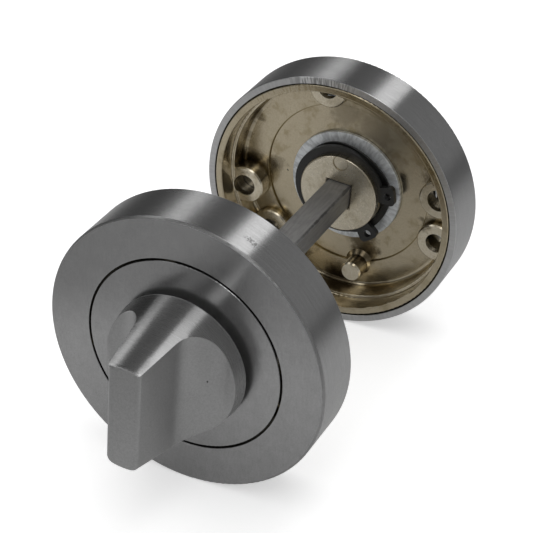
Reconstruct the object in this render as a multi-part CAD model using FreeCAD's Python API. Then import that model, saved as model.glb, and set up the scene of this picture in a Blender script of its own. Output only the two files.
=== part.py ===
"""Bathroom thumb turn lock: two round roses on a square spindle, with a thumb turn and a coin release.

Frame: millimetres, +Z up, the spindle axis along Y. The origin is on the axis in the plane where the
inside rose meets the door. The thumb turn faces -Y, and the outside rose stands off towards +Y by the
door's thickness.

Each rose piece is drawn in its own rose frame first: X to the right and Y up, both as seen from the
thumb turn's side, and Z the distance from the door face outwards. The two roses are mirror images
across the door.
"""
import math
import os

import FreeCAD
import Part

Vector = FreeCAD.Vector
ORIGIN = Vector(0, 0, 0)
ACROSS = Vector(1, 0, 0)
ALONG = Vector(0, 1, 0)
OUTWARD = Vector(0, 0, 1)

# Door and rose
DOOR_THICKNESS = 45.5
ROSE_RADIUS = 26.0
ROSE_DEPTH = 10.0

# Cover: a pressed cup with an opening in its face
COVER_WALL = 1.35
COVER_FACE = 1.0
COVER_EDGE = 0.45
COVER_INNER_EDGE = 0.35
LIP_EDGE = 0.15
OPENING_MARGIN = 1.5
OPENING_EDGE = 0.12

# Rose plate: a die casting that fills the cover
PLATE_CLEARANCE = 0.03
PLATE_LEAD_IN = 0.17
PLATE_LEAD_IN_DEPTH = 1.6
RING_WALL = 1.52
LEDGE_HEIGHT = 4.0
LEDGE_WIDTH = 0.6
WALL_DRAFT = 0.15
WALL_FOOT_RADIUS = 0.9
CAST_EDGE = 0.22
WEB_THICKNESS = 1.0
TROUGH_WIDTH = 6.2
HUB_STEP = 0.4
DISC_THICKNESS = 0.5
DISC_GAP = 0.4
DISC_EDGE = 0.12

# Screw pads and the post, placed by angle from +X as seen from the thumb turn
PATTERN_TURN = 10.4
SCREW_SETBACK = 2.35
BOLT_ANGLES = (0.0, 180.0)
BOLT_HOLE_RADIUS = 2.2
BOLT_PAD_HEIGHT = 3.6
WOOD_SCREW_ANGLES = (90.0, 210.0, 330.0)
WOOD_SCREW_HOLE_RADIUS = 2.0
WOOD_SCREW_PAD_HEIGHT = 1.5
PAD_RADIUS = 3.9
PAD_EDGE = 0.25
PAD_FLOOR = 1.2
SCREW_HEAD_RADIUS = 3.1
POST_ANGLE = 270.0
POST_OFFSET = 0.4
POST_RADIUS = 2.1
POST_HEIGHT = 4.0
POST_EDGE = 0.3
POST_FOOT = 0.8

# Shaft that runs in each rose plate, and what keeps it there
SHAFT_RADIUS = 8.0
SHAFT_CLEARANCE = 0.05
SHAFT_EDGE = 0.25
GROOVE_SETBACK = 1.2
GROOVE_DEPTH = 0.45
CIRCLIP_THICKNESS = 1.0
GROOVE_PLAY = 0.05
WASHER_THICKNESS = 0.8
WASHER_RADIUS = 11.4
WASHER_CLEARANCE = 0.15
WASHER_EDGE = 0.1
WAVE_RADIUS = 9.5
WAVE_BORE_RADIUS = 8.2
WAVE_HEIGHT = 1.4
WAVE_THICKNESS = 0.4
WAVE_COUNT = 3
WAVE_POINTS_PER_WAVE = 12
EJECTOR_RADIUS = 1.5
EJECTOR_PITCH_RADIUS = 6.8
EJECTOR_ANGLE = 91.0
EJECTOR_DEPTH = 0.15

# Circlip: wider opposite its gap, with a drilled lug each side of it
CIRCLIP_PLAY = 0.03
CIRCLIP_WIDE = 2.1
CIRCLIP_NARROW = 1.05
CIRCLIP_GAP_ANGLE = -23.0
CIRCLIP_GAP_HALF = 20.0
LUG_SWEEP = 22.0
LUG_RADIUS = 11.3
LUG_CORNER = 0.9
LUG_HOLE_RADIUS = 0.75
LUG_HOLE_PITCH_RADIUS = 9.9
LUG_HOLE_ANGLE = 30.5

# Thumb turn
TURN_NECK_RADIUS = 9.5
TURN_NECK_LENGTH = 1.3
TURN_BASE_RADIUS = 12.5
TURN_BASE_LAND = 0.2
TURN_NOSE_RADIUS = 10.2
TURN_LENGTH = 19.3
BLADE_HALF_THICKNESS = 2.85
BLADE_DRAFT = 7.0
SCOOP_RADIUS = 6.5
SCOOP_FLOOR = 4.3
NOSE_EDGE = 0.7
LOWER_EDGE = 1.6
LOWER_EDGE_END = 0.1
REST_TURN = 4.5

# Coin release
RELEASE_RADIUS = 9.5
RELEASE_HEIGHT = 2.6
RELEASE_EDGE = 0.6
SLOT_WIDTH = 2.0
SLOT_DEPTH = 1.8

# Spindle and its sockets
SPINDLE_SIZE = 5.0
SPINDLE_CORNER = 0.4
SPINDLE_END = 0.4
SOCKET_CLEARANCE = 0.05
SOCKET_MOUTH = 0.25
SPINDLE_IN_TURN = 10.0
SPINDLE_IN_RELEASE = 5.9
SPINDLE_TRAVEL = 8.5

# Radii, from the rim inwards
COVER_INNER_RADIUS = ROSE_RADIUS - COVER_WALL
PLATE_RADIUS = COVER_INNER_RADIUS - PLATE_CLEARANCE
RING_INNER_RADIUS = PLATE_RADIUS - RING_WALL
SCREW_RADIUS = RING_INNER_RADIUS - SCREW_SETBACK
HUB_STEP_RADIUS = RING_INNER_RADIUS - TROUGH_WIDTH
POST_PITCH_RADIUS = HUB_STEP_RADIUS + POST_OFFSET
OPENING_RADIUS = HUB_STEP_RADIUS + OPENING_MARGIN
DISC_RADIUS = OPENING_RADIUS - DISC_GAP
BORE_RADIUS = SHAFT_RADIUS + SHAFT_CLEARANCE
CIRCLIP_BORE_RADIUS = SHAFT_RADIUS - GROOVE_DEPTH + CIRCLIP_PLAY

# Depths, from the rose's face back towards the door
FACE_INNER_DEPTH = ROSE_DEPTH - COVER_FACE
DISC_DEPTH = ROSE_DEPTH - DISC_THICKNESS
WEB_DEPTH = FACE_INNER_DEPTH - WEB_THICKNESS
HUB_DEPTH = WEB_DEPTH + HUB_STEP
BOLT_PAD_DEPTH = WEB_DEPTH - BOLT_PAD_HEIGHT
WOOD_SCREW_PAD_DEPTH = WEB_DEPTH - WOOD_SCREW_PAD_HEIGHT
POST_DEPTH = WEB_DEPTH - POST_HEIGHT
RING_LEDGE_DEPTH = WEB_DEPTH - LEDGE_HEIGHT
WASHER_DEPTH = HUB_DEPTH - WASHER_THICKNESS
WAVE_DEPTH = WASHER_DEPTH - WAVE_HEIGHT
CIRCLIP_DEPTH = WAVE_DEPTH - CIRCLIP_THICKNESS
SHAFT_END_DEPTH = CIRCLIP_DEPTH - GROOVE_SETBACK
SPINDLE_LENGTH = DOOR_THICKNESS + 2 * SHAFT_END_DEPTH + SPINDLE_IN_TURN + SPINDLE_IN_RELEASE
CUT_MARGIN = 1.0


def polar(radius, degrees, depth=0.0):
    """A point in the rose frame from its radius and angle."""
    angle = math.radians(degrees)
    return Vector(radius * math.cos(angle), radius * math.sin(angle), depth)


def rounded_wire(corners):
    """A closed wire through (u, v, rounding) corners in the XZ plane, with u along X and v along Z."""
    points = [Vector(u, 0, v) for u, v, rounding in corners]
    edges = []
    starts = []
    ends = []
    for index, corner in enumerate(corners):
        here = points[index]
        back = points[index - 1] - here
        forward = points[(index + 1) % len(points)] - here
        rounding = corner[2]
        if rounding <= 0:
            starts.append(here)
            ends.append(here)
            continue
        back.normalize()
        forward.normalize()
        half = back.getAngle(forward) / 2
        reach = rounding / math.tan(half)
        middle = back + forward
        middle.normalize()
        centre = here + middle * (rounding / math.sin(half))
        first = here + back * reach
        last = here + forward * reach
        crown = centre - middle * rounding
        starts.append(first)
        ends.append(last)
        edges.append(Part.Arc(first, crown, last).toShape())
    for index in range(len(points)):
        following = starts[(index + 1) % len(points)]
        edges.append(Part.makeLine(ends[index], following))
    return Part.Wire(Part.__sortEdges__(edges))


def turned(corners):
    """A solid of revolution about the rose axis from (radius, depth, rounding) corners."""
    return Part.Face(rounded_wire(corners)).revolve(ORIGIN, OUTWARD, 360)


def round_bar(radius, start, end, centre=ORIGIN):
    """A cylinder along the rose axis between two depths."""
    base = Vector(centre.x, centre.y, start)
    return Part.makeCylinder(radius, end - start, base, OUTWARD)


def round_taper(start_radius, end_radius, start, end, centre=ORIGIN):
    """A cone along the rose axis between two depths."""
    base = Vector(centre.x, centre.y, start)
    return Part.makeCone(start_radius, end_radius, end - start, base, OUTWARD)


def cover():
    """The pressed cup that hides the rose plate."""
    return turned([
        (COVER_INNER_RADIUS, 0, LIP_EDGE),
        (ROSE_RADIUS, 0, LIP_EDGE),
        (ROSE_RADIUS, ROSE_DEPTH, COVER_EDGE),
        (OPENING_RADIUS, ROSE_DEPTH, OPENING_EDGE),
        (OPENING_RADIUS, FACE_INNER_DEPTH, 0),
        (COVER_INNER_RADIUS, FACE_INNER_DEPTH, COVER_INNER_EDGE),
    ])


def hub_disc():
    """The flush disc that shows in the cover's opening."""
    return turned([
        (BORE_RADIUS, DISC_DEPTH, 0),
        (DISC_RADIUS, DISC_DEPTH, 0),
        (DISC_RADIUS, ROSE_DEPTH, DISC_EDGE),
        (BORE_RADIUS, ROSE_DEPTH, DISC_EDGE),
    ])


def plate_blank():
    """The rose plate's ring wall, web and hub, before its pads, post and holes."""
    wall_top = RING_INNER_RADIUS - LEDGE_WIDTH
    lead_radius = PLATE_RADIUS - PLATE_LEAD_IN
    return turned([
        (BORE_RADIUS, HUB_DEPTH, 0),
        (HUB_STEP_RADIUS, HUB_DEPTH, 0),
        (HUB_STEP_RADIUS, WEB_DEPTH, CAST_EDGE / 2),
        (wall_top - WALL_DRAFT, WEB_DEPTH, WALL_FOOT_RADIUS),
        (wall_top, RING_LEDGE_DEPTH, CAST_EDGE),
        (RING_INNER_RADIUS, RING_LEDGE_DEPTH, CAST_EDGE),
        (RING_INNER_RADIUS, 0, CAST_EDGE),
        (lead_radius, 0, CAST_EDGE),
        (lead_radius, PLATE_LEAD_IN_DEPTH, 0),
        (PLATE_RADIUS, PLATE_LEAD_IN_DEPTH + PLATE_LEAD_IN, 0),
        (PLATE_RADIUS, FACE_INNER_DEPTH, COVER_INNER_EDGE * 2),
        (DISC_RADIUS, FACE_INNER_DEPTH, 0),
        (DISC_RADIUS, DISC_DEPTH, 0),
        (BORE_RADIUS, DISC_DEPTH, 0),
    ])


def screw_places():
    """Angle in the rose frame, pad depth and hole radius of all five screw places."""
    places = []
    for angle in BOLT_ANGLES:
        places.append((PATTERN_TURN + angle, BOLT_PAD_DEPTH, BOLT_HOLE_RADIUS))
    for angle in WOOD_SCREW_ANGLES:
        places.append((PATTERN_TURN + angle, WOOD_SCREW_PAD_DEPTH, WOOD_SCREW_HOLE_RADIUS))
    return places


def pad(angle, depth):
    """A raised cup that takes a screw head from outside."""
    centre = polar(SCREW_RADIUS, angle)
    body = round_bar(PAD_RADIUS, depth + PAD_EDGE, FACE_INNER_DEPTH, centre)
    crown = round_taper(PAD_RADIUS - PAD_EDGE, PAD_RADIUS, depth, depth + PAD_EDGE, centre)
    return body.fuse(crown)


def pad_cut(angle, depth, hole_radius):
    """The screw hole and head recess of one pad."""
    centre = polar(SCREW_RADIUS, angle)
    end = FACE_INNER_DEPTH + CUT_MARGIN
    hole = round_bar(hole_radius, depth - CUT_MARGIN, end, centre)
    head = round_bar(SCREW_HEAD_RADIUS, depth + PAD_FLOOR, end, centre)
    return hole.fuse(head)


def post():
    """The plain round post on the web, with a broken edge and a spread foot."""
    centre = polar(POST_PITCH_RADIUS, PATTERN_TURN + POST_ANGLE)
    body = round_bar(POST_RADIUS, POST_DEPTH + POST_EDGE, HUB_DEPTH + POST_EDGE, centre)
    crown = round_taper(POST_RADIUS - POST_EDGE, POST_RADIUS, POST_DEPTH, POST_DEPTH + POST_EDGE, centre)
    foot = round_taper(POST_RADIUS, POST_RADIUS + POST_FOOT, HUB_DEPTH - POST_FOOT, HUB_DEPTH, centre)
    return body.fuse([crown, foot])


def rose_plate():
    """The die casting with its pads, post and screw holes."""
    shape = plate_blank()
    ring_outline = round_bar(PLATE_RADIUS - COVER_INNER_EDGE, 0, FACE_INNER_DEPTH)
    for angle, depth, hole_radius in screw_places():
        shape = shape.fuse(pad(angle, depth).common(ring_outline))
    shape = shape.fuse(post())
    for place in screw_places():
        shape = shape.cut(pad_cut(*place))
    return shape.removeSplitter()


def washer():
    """The flat washer on the hub."""
    bore = SHAFT_RADIUS + WASHER_CLEARANCE
    return turned([
        (bore, WASHER_DEPTH, 0),
        (WASHER_RADIUS, WASHER_DEPTH, WASHER_EDGE),
        (WASHER_RADIUS, HUB_DEPTH, WASHER_EDGE),
        (bore, HUB_DEPTH, 0),
    ])


def wave_edge(radius, depth, swing):
    """A closed curve that rises and falls around the axis."""
    count = WAVE_COUNT * WAVE_POINTS_PER_WAVE
    points = []
    for index in range(count):
        degrees = 360.0 * index / count
        height = swing * math.cos(math.radians(WAVE_COUNT * degrees))
        points.append(polar(radius, degrees, depth + height))
    curve = Part.BSplineCurve()
    curve.interpolate(Points=points, PeriodicFlag=True)
    return curve.toShape()


def wave_washer():
    """The spring washer that fills the space between the flat washer and the circlip."""
    swing = (WAVE_HEIGHT - WAVE_THICKNESS) / 2
    near = WAVE_DEPTH + swing
    far = near + WAVE_THICKNESS
    edges = [
        wave_edge(WAVE_BORE_RADIUS, near, swing),
        wave_edge(WAVE_RADIUS, near, swing),
        wave_edge(WAVE_RADIUS, far, swing),
        wave_edge(WAVE_BORE_RADIUS, far, swing),
    ]
    faces = []
    for index, edge in enumerate(edges):
        faces.append(Part.makeRuledSurface(edge, edges[(index + 1) % len(edges)]))
    solid = Part.Solid(Part.Shell(faces))
    if solid.Volume < 0:
        solid.reverse()
    return solid


def sector(radius, start_angle, sweep, depth, thickness):
    """A pie slice about the axis."""
    slice_shape = Part.makeCylinder(radius, thickness, Vector(0, 0, depth), OUTWARD, sweep)
    slice_shape.rotate(ORIGIN, OUTWARD, start_angle)
    return slice_shape


def lug(side):
    """One circlip lug. Side is +1 or -1 from the gap's middle."""
    near_angle = CIRCLIP_GAP_ANGLE + side * CIRCLIP_GAP_HALF
    start_angle = near_angle if side > 0 else near_angle - LUG_SWEEP
    blank = sector(LUG_RADIUS, start_angle, LUG_SWEEP, CIRCLIP_DEPTH, CIRCLIP_THICKNESS)
    corners = []
    for edge in blank.Edges:
        middle = edge.CenterOfMass
        upright = edge.Length <= CIRCLIP_THICKNESS + 1e-6
        if upright and math.hypot(middle.x, middle.y) > LUG_RADIUS / 2:
            corners.append(edge)
    return blank.makeFillet(LUG_CORNER, corners)


def circlip():
    """The external retaining ring in the shaft's groove."""
    wide_edge = CIRCLIP_BORE_RADIUS + CIRCLIP_WIDE
    narrow_edge = CIRCLIP_BORE_RADIUS + CIRCLIP_NARROW
    outer_radius = (wide_edge + narrow_edge) / 2
    offset = (wide_edge - narrow_edge) / 2
    centre = polar(offset, CIRCLIP_GAP_ANGLE + 180)
    shape = round_bar(outer_radius, CIRCLIP_DEPTH, WAVE_DEPTH, centre)
    shape = shape.fuse([lug(1), lug(-1)])
    shape = shape.cut(round_bar(CIRCLIP_BORE_RADIUS, CIRCLIP_DEPTH - CUT_MARGIN, WAVE_DEPTH + CUT_MARGIN))
    gap_start = CIRCLIP_GAP_ANGLE - CIRCLIP_GAP_HALF
    gap = sector(ROSE_RADIUS, gap_start, 2 * CIRCLIP_GAP_HALF, CIRCLIP_DEPTH - CUT_MARGIN,
                 CIRCLIP_THICKNESS + 2 * CUT_MARGIN)
    shape = shape.cut(gap)
    for side in (1, -1):
        hole = polar(LUG_HOLE_PITCH_RADIUS, CIRCLIP_GAP_ANGLE + side * LUG_HOLE_ANGLE)
        drill = round_bar(LUG_HOLE_RADIUS, CIRCLIP_DEPTH - CUT_MARGIN, WAVE_DEPTH + CUT_MARGIN, hole)
        shape = shape.cut(drill)
    return shape.removeSplitter()


def shaft_corners():
    """The stepped shaft from its free end to the shoulder, as corners of a turned profile."""
    groove_radius = SHAFT_RADIUS - GROOVE_DEPTH
    groove_end = WAVE_DEPTH + GROOVE_PLAY
    return [
        (0, SHAFT_END_DEPTH, 0),
        (SHAFT_RADIUS, SHAFT_END_DEPTH, SHAFT_EDGE),
        (SHAFT_RADIUS, CIRCLIP_DEPTH, 0),
        (groove_radius, CIRCLIP_DEPTH, 0),
        (groove_radius, groove_end, 0),
        (SHAFT_RADIUS, groove_end, 0),
        (SHAFT_RADIUS, ROSE_DEPTH, 0),
    ]


def square_bar(size, start, end, corner=0.0):
    """A square bar along the axis with its four long corners broken."""
    half = size / 2
    inner = half - corner
    outline = [
        (half, inner), (inner, half), (-inner, half), (-half, inner),
        (-half, -inner), (-inner, -half), (inner, -half), (half, -inner),
    ]
    if corner <= 0:
        outline = [(half, half), (-half, half), (-half, -half), (half, -half)]
    points = [Vector(x, y, start) for x, y in outline]
    face = Part.Face(Part.makePolygon(points + points[:1]))
    return face.extrude(OUTWARD * (end - start))


def socket_mouth():
    """The broken edge round a square socket, as a short square taper."""
    half = SPINDLE_SIZE / 2 + SOCKET_CLEARANCE
    corners = ((1, 1), (-1, 1), (-1, -1), (1, -1))
    wires = []
    for widening, depth in ((SOCKET_MOUTH, SHAFT_END_DEPTH), (0, SHAFT_END_DEPTH + SOCKET_MOUTH)):
        reach = half + widening
        points = [Vector(x * reach, y * reach, depth) for x, y in corners]
        wires.append(Part.makePolygon(points + points[:1]))
    return Part.makeLoft(wires, True, True)


def cut_shaft_end(shape, socket_length):
    """Cuts the spindle socket and the ejector mark into a shaft's free end."""
    size = SPINDLE_SIZE + 2 * SOCKET_CLEARANCE
    shape = shape.cut(square_bar(size, SHAFT_END_DEPTH - CUT_MARGIN, SHAFT_END_DEPTH + socket_length))
    shape = shape.cut(socket_mouth())
    place = polar(EJECTOR_PITCH_RADIUS, EJECTOR_ANGLE)
    mark = round_bar(EJECTOR_RADIUS, SHAFT_END_DEPTH - CUT_MARGIN, SHAFT_END_DEPTH + EJECTOR_DEPTH, place)
    return shape.cut(mark)


def turn_blank():
    """The thumb turn before its scoops: shaft, undercut neck and cone."""
    base = ROSE_DEPTH + TURN_NECK_LENGTH
    nose = ROSE_DEPTH + TURN_LENGTH
    return turned(shaft_corners() + [
        (TURN_NECK_RADIUS, ROSE_DEPTH, 0),
        (TURN_NECK_RADIUS, base, 0),
        (TURN_BASE_RADIUS, base, TURN_BASE_LAND / 2),
        (TURN_BASE_RADIUS, base + TURN_BASE_LAND, 0),
        (TURN_NOSE_RADIUS, nose, 0),
        (0, nose, 0),
    ])


def draft_end():
    """The depth at which the flanks' flat draft ends and the scoops begin to curve."""
    return ROSE_DEPTH + SCOOP_FLOOR + SCOOP_RADIUS * (1 - math.sin(math.radians(BLADE_DRAFT)))


def scoop():
    """The cutter for the +X flank: a flat draft that swells into a curved floor, drawn across the turn."""
    nose = ROSE_DEPTH + TURN_LENGTH
    draft = math.radians(BLADE_DRAFT)
    floor = ROSE_DEPTH + SCOOP_FLOOR
    arc_start = draft_end()
    start_x = BLADE_HALF_THICKNESS + (nose - arc_start) * math.tan(draft)
    centre_x = start_x + SCOOP_RADIUS * math.cos(draft)
    middle = (math.pi / 2 - draft) / 2
    sweep_x = centre_x - SCOOP_RADIUS * math.cos(draft + middle)
    sweep_depth = floor + SCOOP_RADIUS * (1 - math.sin(draft + middle))
    above = nose + CUT_MARGIN
    top_x = BLADE_HALF_THICKNESS - CUT_MARGIN * math.tan(draft)
    beyond = TURN_BASE_RADIUS + SCOOP_RADIUS
    side = Vector(0, -ROSE_RADIUS, 0)
    start = Vector(start_x, 0, arc_start) + side
    crown = Vector(sweep_x, 0, sweep_depth) + side
    end = Vector(centre_x, 0, floor) + side
    top = Vector(top_x, 0, above) + side
    edges = [
        Part.makeLine(top, start),
        Part.Arc(start, crown, end).toShape(),
        Part.makeLine(end, Vector(beyond, 0, floor) + side),
        Part.makeLine(Vector(beyond, 0, floor) + side, Vector(beyond, 0, above) + side),
        Part.makeLine(Vector(beyond, 0, above) + side, top),
    ]
    return Part.Face(Part.Wire(edges)).extrude(ALONG * (2 * ROSE_RADIUS))


def lower_corners(blade):
    """The two edges below, where the blade's flat flanks meet the cone."""
    nose = ROSE_DEPTH + TURN_LENGTH
    found = []
    for edge in blade.Edges:
        box = edge.BoundBox
        if box.YMax < 0 and box.ZMax > nose - 1e-4 and box.ZMin < draft_end() + 1e-4:
            found.append(edge)
    return found


def round_corners(shape):
    """Rounds the blade's lower corners, most at the nose and hardly where the scoops begin."""
    front = round_bar(2 * ROSE_RADIUS, draft_end(), ROSE_DEPTH + TURN_LENGTH + CUT_MARGIN)
    blade = shape.common(front)
    corners = lower_corners(blade)
    first, last = corners[0].Vertexes[0], corners[0].Vertexes[-1]
    radii = (LOWER_EDGE, LOWER_EDGE_END) if first.Z > last.Z else (LOWER_EDGE_END, LOWER_EDGE)
    blade = blade.makeFillet(radii[0], radii[1], corners)
    return shape.cut(front).fuse(blade).removeSplitter()


def soften_nose(shape):
    """Rounds the edges of the thumb turn's end face."""
    nose = ROSE_DEPTH + TURN_LENGTH
    edges = [edge for edge in shape.Edges if edge.BoundBox.ZMin > nose - 1e-4]
    return shape.makeFillet(NOSE_EDGE, edges)


def thumb_turn():
    """The thumb turn with its blade, shaft, groove and socket."""
    shape = turn_blank()
    cutter = scoop()
    shape = shape.cut(cutter)
    shape = shape.cut(cutter.mirror(ORIGIN, ACROSS))
    shape = soften_nose(round_corners(shape))
    return cut_shaft_end(shape, SPINDLE_IN_TURN + SPINDLE_TRAVEL)


def release_button():
    """The outside end: the same shaft under a low button with a coin slot."""
    top = ROSE_DEPTH + RELEASE_HEIGHT
    shape = turned(shaft_corners() + [
        (RELEASE_RADIUS, ROSE_DEPTH, 0),
        (RELEASE_RADIUS, top, RELEASE_EDGE),
        (0, top, 0),
    ])
    length = 2 * (RELEASE_RADIUS + CUT_MARGIN)
    corner = Vector(-SLOT_WIDTH / 2, -length / 2, top - SLOT_DEPTH)
    shape = shape.cut(Part.makeBox(SLOT_WIDTH, length, SLOT_DEPTH + CUT_MARGIN, corner))
    return cut_shaft_end(shape, SPINDLE_IN_RELEASE)


def spindle():
    """The square spindle with broken corners, drawn outwards from the door's far face."""
    start = -DOOR_THICKNESS - SHAFT_END_DEPTH - SPINDLE_IN_TURN
    end = start + SPINDLE_LENGTH
    body = square_bar(SPINDLE_SIZE, start + SPINDLE_END, end - SPINDLE_END, SPINDLE_CORNER)
    tips = []
    for tip, root in ((start, start + SPINDLE_END), (end, end - SPINDLE_END)):
        small = square_bar(SPINDLE_SIZE - 2 * SPINDLE_END, tip, root, SPINDLE_CORNER / 2)
        wide = square_bar(SPINDLE_SIZE, tip, root, SPINDLE_CORNER)
        at_tip = [wire for wire in small.Wires if abs(wire.CenterOfMass.z - tip) < 1e-6][0]
        at_root = [wire for wire in wide.Wires if abs(wire.CenterOfMass.z - root) < 1e-6][0]
        tips.append(Part.makeLoft([at_tip, at_root], True, True))
    return body.fuse(tips).removeSplitter()


def at_rest_angle(shape):
    """Turns a piece of the turning set to where the blade stands at rest."""
    return shape.rotated(ORIGIN, OUTWARD, -REST_TURN)


def inside(shape):
    """Places a piece drawn in the rose frame on the thumb turn's side."""
    return shape.rotated(ORIGIN, ACROSS, 90)


def outside(shape):
    """Places a piece drawn in the rose frame on the far side of the door."""
    middle = Vector(0, DOOR_THICKNESS / 2, 0)
    return inside(shape).mirror(middle, ALONG)


def export(name, shape):
    """Writes one named piece after checking that it is a single sound solid."""
    if len(shape.Solids) != 1 or not shape.isValid():
        raise ValueError("%s: %d solids, valid %s" % (name, len(shape.Solids), shape.isValid()))
    solid = shape.Solids[0]
    if solid.Volume <= 0:
        raise ValueError("%s: inside out" % name)
    solid.exportStep("parts/%s.step" % name)
    print("%-22s volume %9.1f mm3, faces %d" % (name, solid.Volume, len(solid.Faces)))


def build():
    """Builds both roses and the turning set."""
    os.makedirs("parts", exist_ok=True)
    for side_name, place in (("inside", inside), ("outside", outside)):
        export(side_name + "_cover", place(cover()))
        export(side_name + "_hub_disc", place(hub_disc()))
        export(side_name + "_rose_plate", place(rose_plate()))
        export(side_name + "_washer", place(washer()))
        export(side_name + "_wave_washer", place(wave_washer()))
        export(side_name + "_circlip", place(circlip()))
    export("thumb_turn", inside(at_rest_angle(thumb_turn())))
    export("release_button", outside(at_rest_angle(release_button())))
    export("spindle", outside(at_rest_angle(spindle())))


build()
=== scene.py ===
"""The bathroom thumb turn lock on a pale studio floor: finishes, casting flash, light and camera.

Frame: metres, +Z up, the spindle axis along Y, the origin on that axis in the door plane of the
inside rose. Surface patterns are drawn in millimetres from the part's own axes, so they ride with
the pieces.
"""

import math
import random

import bpy
from mathutils import Matrix, Vector


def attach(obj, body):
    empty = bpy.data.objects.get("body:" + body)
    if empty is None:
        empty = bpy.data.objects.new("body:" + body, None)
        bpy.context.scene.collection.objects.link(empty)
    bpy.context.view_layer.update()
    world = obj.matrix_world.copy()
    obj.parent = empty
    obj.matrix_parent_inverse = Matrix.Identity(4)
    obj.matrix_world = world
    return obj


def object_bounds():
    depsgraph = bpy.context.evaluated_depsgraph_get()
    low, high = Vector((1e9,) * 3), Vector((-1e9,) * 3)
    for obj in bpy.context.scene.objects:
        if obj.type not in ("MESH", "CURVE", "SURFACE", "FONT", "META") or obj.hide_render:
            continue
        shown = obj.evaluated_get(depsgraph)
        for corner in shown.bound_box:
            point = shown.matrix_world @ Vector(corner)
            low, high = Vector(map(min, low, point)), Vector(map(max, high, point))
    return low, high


MM = 0.001
ORIGIN = (0.0, 0.0, 0.0)

# Camera
CAMERA_PLACE = (0.11797, -0.20720, 0.16634)
CAMERA_AZIMUTH = 27.446
CAMERA_ELEVATION = 32.955
CAMERA_LENS = 115.4
CAMERA_SENSOR = 36.0
CAMERA_NEAREST = 0.01
CAMERA_FARTHEST = 20.0

# Floor, in metres: its colour to the camera, and its dimmer colours to all other rays, by how far it
# is from the part; these are painted light, and the dip is painted shade just in front of the roses
FLOOR_HALF = 4.0
FLOOR_COLOUR = (0.9, 0.9, 0.9)
FLOOR_NEAR_COLOUR = (0.65, 0.65, 0.65)
FLOOR_FAR_COLOUR = (0.21, 0.21, 0.21)
FLOOR_FADE = (0.05, 0.32)
FLOOR_FRONT_COLOUR = (0.5, 0.5, 0.5)
FLOOR_FRONT = (-0.16, -0.06)
FLOOR_SHADE_DIP_COLOUR = (0.36, 0.36, 0.36)
FLOOR_DIP = (0.05, 0.085)
FLOOR_DIP_END = (0.11, 0.16)
FLOOR_DIP_FRONT = (-0.05, -0.03)
FLOOR_GLOW = 0.5
FLOOR_FAR_GLOW = 1.1
FLOOR_GLOW_FADE = (0.5, 1.6)
FLOOR_MIRRORED_GLOW = 0.15

# Room: its brightness where 1 is white, and the parts of a ray's direction that bound each region
ROOM_LEFT = 0.11
ROOM_RIGHT = 0.39
ROOM_SIDEWAYS = (-0.8, 0.8)
ROOM_FRONT = 0.45
ROOM_FORWARDS = (-0.95, -0.8)
ROOM_OVERHEAD = 0.85
ROOM_OVERHEAD_FORWARDS = (-0.55, -0.45)
ROOM_OVERHEAD_UPWARDS = (0.6, 0.75)
ROOM_SOFT_LIGHT = 0.55

# Lamps, in metres and degrees about the spindle
STRIP_REACH = 0.62
STRIP_LENGTH = 2.4
MAIN_STRIP = {"angle": 79.8, "width": 0.2, "radiance": 1.36}
SECOND_STRIP = {"angle": 132.5, "width": 0.16, "radiance": 1.12}
TOP_HEIGHT = 0.9
TOP_SIZE = 1.2
TOP_RADIANCE = 0.4

# Part sizes that the finishes follow, in millimetres
DOOR_THICKNESS = 45.5
RING_INNER_RADIUS = 23.1
HUB_STEP_RADIUS = 16.9
PAD_RADIUS = 3.9
PAD_PITCH_RADIUS = 20.75
PAD_ANGLES = (10.4, 100.4, 190.4, 220.4, 340.4)
CONE_BASE_RADIUS = 12.5
CONE_BASE_DEPTH = 11.5
CONE_NOSE_RADIUS = 10.2
CONE_NOSE_DEPTH = 29.3
NECK_DEPTH = 11.38
SHAFT_DEPTH = 8.5
SHAFT_BLEND = 0.1
LAND_DEPTH = 7.2
LAND_TOP = (0.6, 1.0)
LAND_BLEND = 0.1
HIDDEN_DEPTH = 8.8
HIDDEN_BLEND = 0.15
SMALLEST_RADIUS = 0.01

# Noise, each as scale per millimetre, detail and roughness: its middle value and its usual span
NOISE_MIDDLE = 0.5
NOISE_SPAN = (0.3, 0.7)

# Brushed steel, with tones as shares of the steel's grey and bumps in millimetres
STEEL = 0.4
BRUSH_TURN = 0.25
BRUSH_BUMP = 0.0015
BRUSH_SPAN = (0.34, 0.66)
BRUSH_TONES = (0.88, 1.11)
STREAK_TURNS = 3.0
STREAK_ACROSS = 8.0
STREAK_NOISE = (1.0, 5.0, 0.7)
GRAIN_NOISE = (2.6, 4.0, 0.75)
GRAIN_SHARE = 0.5
CLOUD_NOISE = (0.4, 3.0, 0.6)
CLOUD_SHARE = 0.25
SCRATCH_STRETCH = (2.6, 1.0, 0.45)
SCRATCH_NOISE = (1.0, 3.0, 0.65)
SCRATCH_SHARE = 0.25
CONE_STREAKS = 0.75
CONE_ROUGHNESS = (0.3, 0.26)
CONE_FAN = 1.0
DISC_STREAKS = 0.12
DISC_ROUGHNESS = (0.22, 0.17)
DISC_FAN = 0.85
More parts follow.
